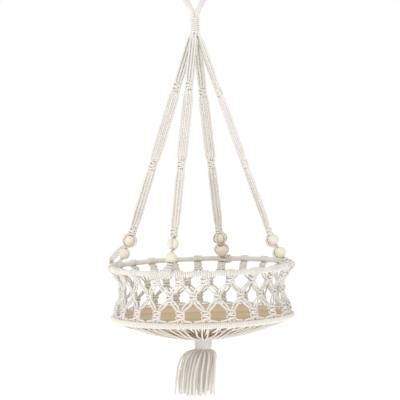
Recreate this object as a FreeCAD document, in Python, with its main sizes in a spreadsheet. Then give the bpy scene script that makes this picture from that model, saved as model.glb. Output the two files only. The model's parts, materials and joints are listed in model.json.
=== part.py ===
import FreeCAD, Part
import math
import os

import Sketcher

# Hanging macrame planter: a cord loop, four beaded hangers, a knotted net wall between
# two wrapped hoops, a loose round board, a cord cradle under it and a tassel.
# Millimetres, +Z up. The origin is where a hook bears inside the top of the hanging loop.
# -Y is the front. An azimuth is counted from the front, towards +X.

SIZES = {
    # hanging loop and the wrapping below it
    "loop_thick": 13.5,
    "loop_bend": 26,
    "loop_lean": 27,
    "neck_drop": 63,
    "neck_end": 4,
    "topwrap_top": 76,
    "topwrap_long": 34,
    "topwrap_dia": 20.5,
    "topwrap_waist": 19,
    "turn_gap": 0.3,
    "sway_gap": 3.2,
    # hangers
    "hanger_start": 5.5,
    "ribbon_wide": 20,
    "ribbon_thin": 6.5,
    "pinch_wide": 11,
    "pinch_thin": 8,
    "knot_wide": 14,
    "knot_thin": 12,
    "knot_long": 16,
    "core_dia": 9,
    "bead_dia": 25,
    "bead_bore": 10.4,
    "bead_pitch": 31,
    # hoops
    "hoop_drop": 612,
    "hoop_radius": 194,
    "hoop_thick": 12.4,
    "rod_dia": 6,
    "tie_thick": 17,
    "tie_gap": 0.4,
    "tie_angle": 5,
    # net wall between the hoops
    "wall_tall": 108,
    "columns": 22,
    "cord_dia": 4,
    "topknot_radius": 188,
    "topknot_start": 8.7,
    "topknot_long": 12.3,
    "topknot_dia": 8,
    "midknot_radius": 175.5,
    "midknot_start": 44,
    "midknot_long": 12,
    "midknot_dia": 8.5,
    "lowknot_radius": 187,
    "lowknot_start": 76,
    "lowknot_long": 20,
    "lowknot_dia": 8.5,
    "net_gap": 2,
    "net_split": 2.4,
    # board, cradle, lower wrapping and tassel
    "board_radius": 172,
    "board_thick": 15,
    "board_edge": 2,
    "board_rise": 6.5,
    "cradle_deep": 44,
    "botwrap_dia": 38,
    "botwrap_long": 26,
    "botwrap_edge": 7,
    "gather_dia": 27,
    "gather_tall": 5,
    "tassel_long": 104,
    "tassel_dia": 92,
    "tassel_lean": 25,
}

# Each hanger: azimuth, how far its ribbon is turned, and heights above the upper hoop of
# its three knots; then radius and height of the gather between its beads and of the
# bend below its lower bead.
HANGERS = {
    "left": (-97, 0, (388, 219, 78), (161.5, 43.5), (174.5, 13)),
    "front": (-22.3, 0, (389, 222, 82), (157, 45), (171, 16)),
    "back": (164, 0, (376, 218, 70), (163, 36), (177, 8)),
    "right": (79, 55, (374, 219, 73), (165, 41), (182, 14)),
}
# Radius of each hanger's third knot, which sets how far the hanger leans.
LEANS = {"left": 147.5, "front": 144, "back": 151, "right": 150.5}

doc = FreeCAD.newDocument("planter")
sheet = doc.addObject("Spreadsheet::Sheet", "sizes")
for row, (alias, number) in enumerate(SIZES.items(), start=1):
    sheet.set(f"A{row}", alias)
    sheet.set(f"B{row}", str(number))
    sheet.setAlias(f"B{row}", alias)
doc.recompute()

subparts = []


def size(alias):
    """One of the sheet's numbers."""
    return float(sheet.get(alias))


def bind(thing, **formulas):
    """Ties properties of a document object to the sheet: names in capitals stay as they are."""
    for name, formula in formulas.items():
        for alias in sorted(SIZES, key=len, reverse=True):
            formula = formula.replace(f"#{alias}#", f"<<sizes>>.{alias}")
        thing.setExpression(name.replace("__", "."), formula)


def subpart(thing, label):
    """Names a finished sub-part and puts it on the list that is written out."""
    thing.Label = label
    subparts.append(thing)
    return thing


def around(azimuth, radius, height):
    """A point at an azimuth in degrees, at a radius and a height."""
    turn = math.radians(azimuth)
    return FreeCAD.Vector(radius * math.sin(turn), -radius * math.cos(turn), height)


def facing(centre, along, wide):
    """A placement with local Z along one direction and local X as near as it can be to another."""
    third = along.cross(wide)
    return FreeCAD.Placement(centre, FreeCAD.Rotation(wide, third, along, "ZXY"))


# ---------------------------------------------------------------- turned pieces


def plane_of(body, role):
    """One of a body's own origin planes or axes."""
    return next(f for f in body.Origin.OriginFeatures if f.Role == role)


def turned(label, outline, base_z):
    """A body revolved about Z. The outline is a list of (radius, height) formulas over base_z."""
    body = doc.addObject("PartDesign::Body", label + "_body")
    sketch = body.newObject("Sketcher::SketchObject", label + "_outline")
    sketch.AttachmentSupport = (plane_of(body, "XZ_Plane"), "")
    sketch.MapMode = "FlatFace"
    values = [[evaluate(f) for f in point] for point in outline]
    count = len(outline)
    for index in range(count):
        start = FreeCAD.Vector(*values[index], 0)
        end = FreeCAD.Vector(*values[(index + 1) % count], 0)
        sketch.addGeometry(Part.LineSegment(start, end), False)
        sketch.addConstraint(
            Sketcher.Constraint("Coincident", index - 1, 2, index, 1) if index else
            Sketcher.Constraint("DistanceX", -1, 1, 0, 1, values[0][0])
        )
    sketch.addConstraint(Sketcher.Constraint("Coincident", count - 1, 2, 0, 1))
    for index, point in enumerate(outline):
        for kind, formula, number in zip(("DistanceX", "DistanceY"), point, values[index]):
            if index == 0 and kind == "DistanceX":
                place = 0
            else:
                place = sketch.addConstraint(
                    Sketcher.Constraint(kind, -1, 1, index, 1, number)
                )
            if number:
                bind(sketch, **{f"Constraints[{place}]": formula})
    turn = body.newObject("PartDesign::Revolution", label + "_turn")
    turn.Profile = sketch
    turn.ReferenceAxis = (sketch, ["V_Axis"])
    turn.Angle = 360
    body.Placement.Base = FreeCAD.Vector(0, 0, evaluate(base_z))
    bind(body, Placement__Base__z=base_z)
    return subpart(body, label)


def evaluate(formula):
    """The value of a formula over the sheet's numbers."""
    for alias in sorted(SIZES, key=len, reverse=True):
        formula = formula.replace(f"#{alias}#", str(size(alias)))
    return float(sheet.evalExpression(formula))


def top_wrap():
    """The wrapping that gathers all the cords under the hanging loop, a little waisted."""
    rim = "#topwrap_dia# / 2"
    turned(
        "top_wrap",
        [
            ("0", "0"),
            (rim + " - 1.5", "0"),
            (rim, "1.5"),
            ("#topwrap_waist# / 2", "#topwrap_long# / 2"),
            (rim, "#topwrap_long# - 1.5"),
            (rim + " - 1.5", "#topwrap_long#"),
            ("0", "#topwrap_long#"),
        ],
        "-#topwrap_top# - #topwrap_long#",
    )


def bottom_wrap():
    """The smooth wrapping under the cradle, with the gathered cords standing out of its top."""
    rim = "#botwrap_dia# / 2"
    turned(
        "bottom_wrap",
        [
            ("0", "0"),
            (rim + " - #botwrap_edge#", "0"),
            (rim, "#botwrap_edge#"),
            (rim, "#botwrap_long# - 1.5"),
            (rim + " - 1.5", "#botwrap_long#"),
            ("#gather_dia# / 2", "#botwrap_long#"),
            ("#gather_dia# / 2 - 2", "#botwrap_long# + #gather_tall#"),
            ("0", "#botwrap_long# + #gather_tall#"),
        ],
        "-#hoop_drop# - #wall_tall# - #cradle_deep# - #botwrap_long# - 3",
    )


def tassel():
    """The bunch of cut cords, kept under a cone that lets it swing below the wrapping."""
    wide = "#tassel_dia# / 2"
    slope = f"{math.tan(math.radians(size('tassel_lean'))):.4f}"
    turned(
        "tassel",
        [
            ("0", "0"),
            (wide, "0"),
            (wide + " * 0.92", "#tassel_long# * 0.3"),
            (wide + " * 0.72", f"#tassel_long# - 0.8 - {wide} * 0.72 * {slope}"),
            ("6", f"#tassel_long# - 0.8 - 6 * {slope}"),
            ("0", f"#tassel_long# - 0.8 - 6 * {slope}"),
        ],
        "-#hoop_drop# - #wall_tall# - #cradle_deep# - #botwrap_long# - 3 - #tassel_long#",
    )


def round_board():
    """The loose pine board that lies in the cradle at the lower hoop's level."""
    body = doc.addObject("PartDesign::Body", "board_body")
    sketch = body.newObject("Sketcher::SketchObject", "board_outline")
    sketch.AttachmentSupport = (plane_of(body, "XY_Plane"), "")
    sketch.MapMode = "FlatFace"
    middle = FreeCAD.Vector(0, 0, 0)
    up = FreeCAD.Vector(0, 0, 1)
    sketch.addGeometry(Part.Circle(middle, up, size("board_radius")), False)
    sketch.addConstraint(Sketcher.Constraint("Coincident", 0, 3, -1, 1))
    radius = sketch.addConstraint(Sketcher.Constraint("Radius", 0, size("board_radius")))
    bind(sketch, **{f"Constraints[{radius}]": "#board_radius#"})
    pad = body.newObject("PartDesign::Pad", "board_pad")
    pad.Profile = sketch
    bind(pad, Length="#board_thick#")
    doc.recompute()
    rounding = body.newObject("PartDesign::Fillet", "board_rounding")
    rounding.Base = (pad, ["Face2", "Face3"])
    bind(rounding, Radius="#board_edge#")
    bind(body, Placement__Base__z="-#hoop_drop# - #wall_tall# + #board_rise# - #board_thick#")
    subpart(body, "round_board")


# ---------------------------------------------------------------- hanging loop


def ball(centre, formula):
    thing = doc.addObject("Part::Sphere", "joint_ball")
    bind(thing, Radius=formula)
    thing.Placement.Base = centre
    return thing


def rod_between(start, end, formula, end_formula=None):
    """A round piece from one point to another, tapered where its end has another radius."""
    along = end - start
    if end_formula:
        thing = doc.addObject("Part::Cone", "taper")
        bind(thing, Radius1=formula, Radius2=end_formula)
    else:
        thing = doc.addObject("Part::Cylinder", "run")
        bind(thing, Radius=formula)
    thing.Height = along.Length
    turn = FreeCAD.Rotation(FreeCAD.Vector(0, 0, 1), along)
    thing.Placement = FreeCAD.Placement(start, turn)
    return thing


def fused(label, pieces):
    whole = doc.addObject("Part::MultiFuse", label + "_fuse")
    whole.Shapes = pieces
    return subpart(whole, label)


def hanging_loop():
    """The bundle of cords bent over the hook: a bend, two leaning legs and a tapered neck."""
    lean = math.radians(size("loop_lean"))
    bend = size("loop_bend")
    middle = size("loop_thick") / 2 - bend
    arc = doc.addObject("Part::Torus", "loop_arc")
    bind(arc, Radius1="#loop_bend#", Radius2="#loop_thick# / 2")
    arc.Angle3 = 180 + 2 * size("loop_lean")
    flat = FreeCAD.Rotation(FreeCAD.Vector(1, 0, 0), 90)
    start = FreeCAD.Rotation(FreeCAD.Vector(0, 0, 1), -size("loop_lean"))
    arc.Placement = FreeCAD.Placement(FreeCAD.Vector(0, 0, middle), flat.multiply(start))
    pieces = [arc]
    for side in (-1, 1):
        top = FreeCAD.Vector(side * bend * math.cos(lean), 0, middle - bend * math.sin(lean))
        drop = top.z + size("neck_drop")
        foot = top + FreeCAD.Vector(-side * drop * math.tan(lean), 0, -drop)
        end = FreeCAD.Vector(side * 1.5, 0, -size("topwrap_top") + size("neck_end") + size("turn_gap"))
        pieces += [
            rod_between(top, foot, "#loop_thick# / 2"),
            ball(foot, "#loop_thick# / 2"),
            rod_between(foot, end, "#loop_thick# / 2", "#neck_end#"),
            ball(end, "#neck_end#"),
        ]
    fused("hanging_loop", pieces)


# ---------------------------------------------------------------- hangers


def swelling(label, sections):
    """A lofted bundle of cords. Each section is (placement, half width, half thickness)."""
    rings = []
    for placement, wide, thin in sections:
        ring = doc.addObject("Part::Ellipse", label + "_ring")
        bind(ring, MajorRadius=wide, MinorRadius=thin)
        ring.Placement = placement
        rings.append(ring)
    loft = doc.addObject("Part::Loft", label + "_loft")
    loft.Sections = rings
    loft.Solid = True
    return subpart(loft, label)


def bundle(label, start, end, wide_way, kind, first=None):
    """A stretch of hanger from one point to another: a flat ribbon, or a knot that bulges."""
    run = end - start
    along = FreeCAD.Vector(run).normalize()
    pinch = ("#pinch_wide# / 2", "#pinch_thin# / 2")
    belly = (f"#{kind}_wide# / 2", f"#{kind}_thin# / 2")
    if kind == "knot":
        stations = [(0, pinch), (0.25, belly), (0.75, belly), (1, pinch)]
    else:
        stations = [(0, first or pinch), (0.2, belly), (0.8, belly), (1, pinch)]
    sections = [
        (facing(start + run * share, along, wide_way), wide, thin)
        for share, (wide, thin) in stations
    ]
    swelling(label, sections)


def wide_way_of(along, twist):
    """The direction of a ribbon's width: across the front view, then turned about the hanger."""
    across = FreeCAD.Vector(1, 0, 0)
    across = (across - along * across.dot(along)).normalize()
    return FreeCAD.Rotation(along, twist).multVec(across)


def bead(label, centre, along):
    """A turned wooden bead on the hanger's core cords."""
    sphere = doc.addObject("Part::Sphere", label + "_ball")
    bind(sphere, Radius="#bead_dia# / 2")
    bore = doc.addObject("Part::Cylinder", label + "_bore")
    bind(bore, Radius="#bead_bore# / 2", Height="#bead_dia# * 2")
    bind(bore, Placement__Base__z="-#bead_dia#")
    cut = doc.addObject("Part::Cut", label + "_cut")
    cut.Base = sphere
    cut.Tool = bore
    turn = FreeCAD.Rotation(FreeCAD.Vector(0, 0, 1), along)
    cut.Placement = FreeCAD.Placement(centre, turn)
    return subpart(cut, label)


def hanger(name):
    """One hanger: ribbons and knots down to the third knot, then beads on a core, then a tie."""
    azimuth, twist, knots, gather, bend = HANGERS[name]
    hoop_z = -size("hoop_drop")
    start = around(azimuth, size("hanger_start"),
                   -size("topwrap_top") - size("topwrap_long") - size("sway_gap"))
    third = around(azimuth, LEANS[name], hoop_z + knots[2])
    along = (third - start).normalize()
    wide_way = wide_way_of(along, twist)
    here = start
    first = ("3.2", "3.1")
    names = ("upper", "middle", "lower")
    for part, height in zip(names, knots):
        middle = start + along * ((hoop_z + height - start.z) / along.z)
        half = along * (size("knot_long") / 2)
        bundle(f"{name}_{part}_cords", here, middle - half, wide_way, "ribbon", first)
        bundle(f"{name}_{part}_knot", middle - half, middle + half, wide_way, "knot")
        here = middle + half
        first = None
    gather_at = around(azimuth, gather[0], hoop_z + gather[1])
    bend_at = around(azimuth, bend[0], hoop_z + bend[1])
    hoop_at = around(azimuth, size("hoop_radius"), hoop_z)
    end = hoop_at + (bend_at - hoop_at).normalize() * (size("tie_thick") / 2 + 0.5)
    above = (gather_at - third).normalize()
    below = (bend_at - gather_at).normalize()
    half_pitch = size("bead_pitch") / 2
    centres = {"upper": gather_at - above * half_pitch, "lower": gather_at + below * half_pitch}
    core_start = third + above * (size("knot_long") / 2 + 0.4)
    route = [core_start, gather_at, bend_at, end]
    core = [rod_between(a, b, "#core_dia# / 2") for a, b in zip(route, route[1:])]
    core += [ball(point, "#core_dia# / 2") for point in route[1:3]]
    fused(f"{name}_bead_cords", core)
    bead(f"{name}_upper_bead", centres["upper"], above)
    bead(f"{name}_lower_bead", centres["lower"], below)
    for part, axis in (("upper", above), ("lower", below)):
        spot = [round(value / 1000, 6) for value in centres[part]]
        way = [round(value, 6) for value in axis]
        print(f"bead {name}_{part} centre_m {spot} axis {way}")
    hoop_tie(name, azimuth)


# ---------------------------------------------------------------- hoops


def torus(formula, angle, azimuth_from, height):
    """A ring at the hoop's radius, whole or a part of it, whose section has the given radius."""
    thing = doc.addObject("Part::Torus", "ring")
    bind(thing, Radius1="#hoop_radius#", Radius2=formula)
    thing.Angle3 = angle
    turn = FreeCAD.Rotation(FreeCAD.Vector(0, 0, 1), azimuth_from - 90)
    thing.Placement = FreeCAD.Placement(FreeCAD.Vector(0, 0, height), turn)
    return thing


def cut_ring(label, outer, inner):
    cut = doc.addObject("Part::Cut", label + "_cut")
    cut.Base = outer
    cut.Tool = inner
    return subpart(cut, label)


def hoop(name, height):
    """A steel rod ring inside a close wrapping of cord."""
    subpart(torus("#rod_dia# / 2", 360, 0, height), f"{name}_hoop_rod")
    cut_ring(
        f"{name}_hoop_wrap",
        torus("#hoop_thick# / 2", 360, 0, height),
        torus("#rod_dia# / 2", 360, 0, height),
    )


def hoop_tie(name, azimuth):
    """The turns that tie a hanger's end round the upper hoop."""
    height = -size("hoop_drop")
    half = size("tie_angle")
    cut_ring(
        f"{name}_hoop_tie",
        torus("#tie_thick# / 2", 2 * half, azimuth - half, height),
        torus("#hoop_thick# / 2 + #tie_gap#", 4 * half, azimuth - 2 * half, height),
    )


# ---------------------------------------------------------------- net wall and cradle


def knot_row(label, kind, first_azimuth):
    """A ring of upright knots: one padded, then patterned round the basket."""
    body = doc.addObject("PartDesign::Body", label + "_body")
    body.AllowCompound = True
    sketch = body.newObject("Sketcher::SketchObject", label + "_section")
    sketch.AttachmentSupport = (plane_of(body, "XY_Plane"), "")
    sketch.MapMode = "FlatFace"
    radius = size(f"{kind}_radius")
    centre = FreeCAD.Vector(radius, 0, 0)
    up = FreeCAD.Vector(0, 0, 1)
    sketch.addGeometry(Part.Circle(centre, up, size(f"{kind}_dia") / 2), False)
    rules = (
        (Sketcher.Constraint("Radius", 0, size(f"{kind}_dia") / 2), f"#{kind}_dia# / 2"),
        (Sketcher.Constraint("DistanceX", -1, 1, 0, 3, radius), f"#{kind}_radius#"),
    )
    for rule, formula in rules:
        place = sketch.addConstraint(rule)
        bind(sketch, **{f"Constraints[{place}]": formula})
    sketch.addConstraint(Sketcher.Constraint("PointOnObject", 0, 3, -1))
    pad = body.newObject("PartDesign::Pad", label + "_pad")
    pad.Profile = sketch
    bind(pad, Length=f"#{kind}_long#")
    ring = body.newObject("PartDesign::PolarPattern", label + "_ring")
    ring.Originals = [pad]
    ring.Axis = (plane_of(body, "Z_Axis"), [""])
    ring.Angle = 360
    bind(ring, Occurrences="#columns#")
    body.Tip = ring
    body.Placement.Rotation = FreeCAD.Rotation(FreeCAD.Vector(0, 0, 1), first_azimuth - 90)
    bind(body, Placement__Base__z=f"-#hoop_drop# - #{kind}_start# - #{kind}_long#")
    return subpart(body, label)


def net_cords(label, upper, lower, upper_azimuth):
    """The slanting cords from a row of knots down to the next row, both ways from each knot."""
    step = 360 / size("columns")
    hoop_z = -size("hoop_drop")
    top_z = hoop_z - size(f"{upper}_start") - size(f"{upper}_long") - size("net_gap")
    end_z = hoop_z - size(f"{lower}_start") + size("net_gap")
    cords = []
    for column in range(int(size("columns"))):
        for side in (-1, 1):
            azimuth = upper_azimuth + column * step
            shift = [side * math.degrees(size("net_split") / size(f"{row}_radius"))
                     for row in (upper, lower)]
            start = around(azimuth + shift[0], size(f"{upper}_radius"), top_z)
            end = around(azimuth + side * step / 2 - shift[1], size(f"{lower}_radius"), end_z)
            cords.append(rod_between(start, end, "#cord_dia# / 2"))
    whole = doc.addObject("Part::Compound", label + "_set")
    whole.Links = cords
    return subpart(whole, label)


def route_wire(points):
    """Straight runs joined by tangent arcs as large as the runs allow."""
    edges = []
    here = points[0]
    for before, corner, after in zip(points, points[1:], points[2:]):
        back = (before - corner)
        ahead = (after - corner)
        turn = math.pi - back.getAngle(ahead)
        cut = 0.45 * min(back.Length, ahead.Length)
        enter = corner + FreeCAD.Vector(back).normalize() * cut
        leave = corner + FreeCAD.Vector(ahead).normalize() * cut
        radius = cut / math.tan(turn / 2)
        inward = (FreeCAD.Vector(back).normalize() + FreeCAD.Vector(ahead).normalize()).normalize()
        middle = corner + inward * (radius / math.cos(turn / 2) - radius)
        edges.append(Part.LineSegment(here, enter).toShape())
        edges.append(Part.Arc(enter, middle, leave).toShape())
        print(f"cradle bend radius {radius:.0f}")
        here = leave
    edges.append(Part.LineSegment(here, points[-1]).toShape())
    return Part.Wire(edges)


def cradle_cords():
    """One cord per net column, from under the lower hoop down and in to the wrapping."""
    low_z = -size("hoop_drop") - size("wall_tall")
    deep = size("cradle_deep")
    reach = size("hoop_radius")
    profile = [(reach - 7.4, 5), (165, 0.32 * deep), (128, 0.62 * deep), (88, 0.82 * deep),
               (48, 0.945 * deep), (size("gather_dia") / 2 + 2.6, 0.975 * deep)]
    points = [FreeCAD.Vector(0, -radius, low_z - drop) for radius, drop in profile]
    wire = route_wire(points)
    along = points[1] - points[0]
    ring = Part.Wire([Part.Circle(points[0], along, size("cord_dia") / 2).toShape()])
    tube = wire.makePipeShell([ring], True, False)
    expected = math.pi * (size("cord_dia") / 2) ** 2 * wire.Length
    print(f"cradle cord volume {tube.Volume:.1f} expected {expected:.1f}")
    step = 360 / size("columns")
    middle = FreeCAD.Vector(0, 0, 0)
    up = FreeCAD.Vector(0, 0, 1)
    copies = []
    for column in range(int(size("columns"))):
        copy = tube.copy()
        copy.rotate(middle, up, (column + 0.5) * step)
        copies.append(copy)
    thing = doc.addObject("Part::Feature", "cradle_set")
    thing.Shape = Part.makeCompound(copies)
    return subpart(thing, "cradle_cords")


# ---------------------------------------------------------------- the whole planter

hanging_loop()
top_wrap()
for hanger_name in HANGERS:
    hanger(hanger_name)
hoop("upper", -size("hoop_drop"))
hoop("lower", -size("hoop_drop") - size("wall_tall"))
half_step = 180 / size("columns")
MID_AZIMUTH = -6
knot_row("net_top_knots", "topknot", MID_AZIMUTH + half_step)
knot_row("net_middle_knots", "midknot", MID_AZIMUTH)
knot_row("net_bottom_knots", "lowknot", MID_AZIMUTH + half_step)
net_cords("net_upper_cords", "topknot", "midknot", MID_AZIMUTH + half_step)
net_cords("net_lower_cords", "midknot", "lowknot", MID_AZIMUTH)
round_board()
cradle_cords()
bottom_wrap()
tassel()
doc.recompute()

for thing in doc.Objects:
    if {"Invalid", "Error"} & set(thing.State):
        raise RuntimeError(f"{thing.Label} failed: {thing.State}")
for thing in subparts:
    if thing.Shape.isNull() or not thing.Shape.isValid():
        raise RuntimeError(f"{thing.Label} has no valid shape")

os.makedirs("parts", exist_ok=True)
for thing in subparts:
    thing.Shape.exportStep(f"parts/{thing.Label}.step")
    print(f"{thing.Label}: {len(thing.Shape.Solids)} solids, {thing.Shape.Volume:.0f} mm3")
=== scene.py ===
import json
import math
import random

import bpy
import numpy as np
from mathutils import Matrix, Vector


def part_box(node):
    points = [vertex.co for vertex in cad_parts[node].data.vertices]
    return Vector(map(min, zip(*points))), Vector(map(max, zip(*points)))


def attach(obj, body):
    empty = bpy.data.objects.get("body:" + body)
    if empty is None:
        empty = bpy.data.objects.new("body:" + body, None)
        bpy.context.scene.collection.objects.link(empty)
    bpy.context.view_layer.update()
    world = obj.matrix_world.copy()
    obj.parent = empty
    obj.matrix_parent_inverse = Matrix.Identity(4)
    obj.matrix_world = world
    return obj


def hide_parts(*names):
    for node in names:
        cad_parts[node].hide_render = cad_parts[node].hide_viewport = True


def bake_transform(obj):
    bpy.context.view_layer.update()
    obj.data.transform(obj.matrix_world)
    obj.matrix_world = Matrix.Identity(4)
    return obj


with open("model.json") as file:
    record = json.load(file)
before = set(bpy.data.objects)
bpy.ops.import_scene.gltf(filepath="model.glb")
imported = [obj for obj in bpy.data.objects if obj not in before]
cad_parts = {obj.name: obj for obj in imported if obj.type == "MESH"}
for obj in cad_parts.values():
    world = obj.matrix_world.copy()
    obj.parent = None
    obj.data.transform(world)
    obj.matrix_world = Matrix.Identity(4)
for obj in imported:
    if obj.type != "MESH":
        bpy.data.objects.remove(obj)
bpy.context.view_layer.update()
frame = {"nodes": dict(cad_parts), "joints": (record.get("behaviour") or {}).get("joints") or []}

# Hanging macrame planter. Lengths are in millimetres, and a finished mesh is in metres.
# -Y is the front. An azimuth is counted from the front, towards +X.
# A drop is counted down from the middle of the upper hoop.

MM = 0.001
chance = random.Random(11)


def corners(node):
    """A CAD node's lowest and highest corners."""
    return [np.array(corner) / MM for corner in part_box(node)]


def middle_height(node):
    low, high = corners(node)
    return (low[2] + high[2]) / 2


rod_low, rod_high = corners("upper_hoop_rod")
wrap_low, wrap_high = corners("upper_hoop_wrap")
HOOP_Z = middle_height("upper_hoop_rod")
LOW_Z = middle_height("lower_hoop_rod")
ROD_RADIUS = (rod_high[2] - rod_low[2]) / 2
HOOP_RADIUS = rod_high[0] - ROD_RADIUS
HOOP_THICK = wrap_high[2] - wrap_low[2]
# A cord's thickness, how far its strands run in one turn, and the step along its line.
CORD = 4.2
LAY = 18
STEP = 1.5


def around(azimuth, radius, height):
    """A point at an azimuth in degrees, at a radius and a height."""
    turn = math.radians(azimuth)
    return np.array((radius * math.sin(turn), -radius * math.cos(turn), height))


def unit(vector):
    return np.array(vector) / np.linalg.norm(vector)


# ---------------------------------------------------------------- camera, light and floor

EYE_AWAY = 4000
EYE_ABOVE_HOOP = 340
AIM_ABOVE_HOOP = 143
CAMERA_ROLL = -1.45
CAMERA_SIDE = 1.0
FOCAL_LENGTH = 167
# How bright the sky is as light, and to the eye.
SKY_LIGHT, SKY_SEEN = 0.69, 1.0
# In metres.
FLOOR_SIZE, FLOOR_HEIGHT = 30, -1.35
FLOOR_GLOW = 0.45
# Each lamp: name, place and size in metres, and power in watts.
LAMPS = (("key", (-1.6, -2.2, 1.2), 1.6, 33), ("fill", (2.2, -1.6, 0.2), 2.0, 10))


def add_camera():
    data = bpy.data.cameras.new("camera")
    data.lens = FOCAL_LENGTH
    data.sensor_width = 36
    camera = bpy.data.objects.new("camera", data)
    bpy.context.scene.collection.objects.link(camera)
    eye = Vector((CAMERA_SIDE, -EYE_AWAY, HOOP_Z + EYE_ABOVE_HOOP)) * MM
    aim = Vector((CAMERA_SIDE, 0, HOOP_Z + AIM_ABOVE_HOOP)) * MM
    look = (aim - eye).to_track_quat("-Z", "Y").to_matrix()
    roll = Matrix.Rotation(math.radians(CAMERA_ROLL), 3, "Z")
    camera.matrix_world = Matrix.Translation(eye) @ (look @ roll).to_4x4()
    bpy.context.scene.camera = camera


def add_lamp(name, place, size, power):
    """A square soft light that faces the middle of the basket. Place and size are in metres."""
    data = bpy.data.lights.new(name, "AREA")
    data.size = size
    data.energy = power
    lamp = bpy.data.objects.new(name, data)
    bpy.context.scene.collection.objects.link(lamp)
    aim = Vector((0, 0, HOOP_Z * MM))
    lamp.location = place
    lamp.rotation_euler = (aim - Vector(place)).to_track_quat("-Z", "Y").to_euler()


def add_surroundings():
    """A pale floor well under the tassel, an even sky that is white to the eye, and two soft lamps."""
    world = bpy.data.worlds.new("studio")
    bpy.context.scene.world = world
    world.use_nodes = True
    nodes, links = world.node_tree.nodes, world.node_tree.links
    sky = nodes["Background"]
    sky.inputs["Color"].default_value = (1, 1, 1, 1)
    seen = nodes.new("ShaderNodeLightPath")
    strength = nodes.new("ShaderNodeMix")
    strength.inputs["A"].default_value = SKY_LIGHT
    strength.inputs["B"].default_value = SKY_SEEN
    links.new(seen.outputs["Is Camera Ray"], strength.inputs["Factor"])
    links.new(strength.outputs["Result"], sky.inputs["Strength"])
    bpy.context.scene.view_settings.view_transform = "Standard"

    bpy.ops.mesh.primitive_plane_add(size=FLOOR_SIZE, location=(0, 0, FLOOR_HEIGHT))
    floor = bpy.context.object
    floor.name = "floor"
    pale = bpy.data.materials.new("pale_floor")
    pale.use_nodes = True
    surface = pale.node_tree.nodes["Principled BSDF"]
    surface.inputs["Base Color"].default_value = (0.95, 0.95, 0.95, 1)
    surface.inputs["Roughness"].default_value = 0.9
    surface.inputs["Emission Color"].default_value = (1, 1, 1, 1)
    surface.inputs["Emission Strength"].default_value = FLOOR_GLOW
    floor.data.materials.append(pale)

    for lamp in LAMPS:
        add_lamp(*lamp)


# ---------------------------------------------------------------- finishes


class Signal:
    """The output of a shader node. Sums on it add Math nodes."""

    def __init__(self, finish, socket):
        self.finish = finish
        self.socket = socket

    def sum(self, operation, first, second):
        return self.finish.node("Math", {"operation": operation}, {0: first, 1: second})

    def __add__(self, other):
        return self.sum("ADD", self, other)

    def __sub__(self, other):
        return self.sum("SUBTRACT", self, other)

    def __mul__(self, other):
        return self.sum("MULTIPLY", self, other)

    __radd__ = __add__


class Finish:
    """A material whose shader gets its constants here and whose nodes come from node()."""

    def __init__(self, name, **constants):
        self.material = bpy.data.materials.new(name)
        self.material.use_nodes = True
        self.tree = self.material.node_tree
        self.shader = self.tree.nodes["Principled BSDF"]
        for socket, value in constants.items():
            self.shader.inputs[socket.replace("_", " ")].default_value = value

    def feed(self, socket, value):
        if isinstance(value, Signal):
            self.tree.links.new(value.socket, socket)
        else:
            socket.default_value = value

    def node(self, kind, settings=None, sockets=None, out=0):
        """Adds a node of a kind, with its settings and then the values or links of its sockets."""
        made = self.tree.nodes.new("ShaderNode" + kind)
        for name, value in (settings or {}).items():
            setattr(made, name, value)
        for socket, value in (sockets or {}).items():
            self.feed(made.inputs[socket], value)
        return Signal(self, made.outputs[out])

    def attribute(self, name, out="Fac"):
        return self.node("Attribute", {"attribute_name": name}, out=out)

    def noise(self, where, stretch, detail=3, roughness=0.55):
        """Noise over a place that is stretched by three factors."""
        mapped = self.node("Mapping", sockets={"Vector": where, "Scale": stretch})
        return self.node(
            "TexNoise", sockets={"Vector": mapped, "Scale": 1.0, "Detail": detail, "Roughness": roughness}
        )

    def mix(self, share, first, second):
        """A colour between two others, each a link or three numbers."""
        colours = [c if isinstance(c, Signal) else (*c, 1) for c in (first, second)]
        return self.node("Mix", {"data_type": "RGBA"}, {0: share, 6: colours[0], 7: colours[1]}, out=2)

    def brighten(self, colour, factor):
        return self.node("VectorMath", {"operation": "SCALE"}, {0: colour, "Scale": factor})

    def paint(self, colour, height, depth, roughness):
        """Feeds the colour, a bump of a height that is at most depth metres deep, and the roughness."""
        self.feed(self.shader.inputs["Base Color"], colour)
        bump = self.node("Bump", sockets={"Strength": 1.0, "Distance": depth, "Height": height})
        self.feed(self.shader.inputs["Normal"], bump)
        self.feed(self.shader.inputs["Roughness"], roughness)
        return self.material


def cotton(name, crown, painted_shade_colour, fibre_depth):
    """Twisted cotton: fibres along the strands, painted shade between them, each cord its own tone."""
    finish = Finish(name, Sheen_Weight=0.05, Sheen_Roughness=0.6, Specular_IOR_Level=0.15)
    ply = finish.attribute("ply", out="Vector")
    place = finish.node("TexCoord", out="Object")
    fibres = finish.noise(ply, (0.35, 2.6, 2.6), detail=4, roughness=0.7)
    tufts = finish.noise(ply, (0.12, 0.5, 0.5), detail=2)
    patches = finish.noise(place, (14, 14, 14), detail=2)
    # Painted shade: darker in the grooves between strands, plus fibre mottling, mixed towards the shade
    # colour.
    shade = finish.attribute("groove") * 0.36 + fibres * 0.32 - 0.1
    tone = finish.attribute("tone")
    warmer = [part * share for part, share in zip(crown, (1.0, 0.975, 0.935))]
    colour = finish.mix(shade, finish.mix(tone * 0.5 + 0.5, crown, warmer), painted_shade_colour)
    brightness = 0.91 + tufts * 0.1 + patches * 0.1 + tone * 0.02
    return finish.paint(
        finish.brighten(colour, brightness), fibres + tufts * 0.5, fibre_depth, 0.8 + fibres * 0.18
    )


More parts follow.
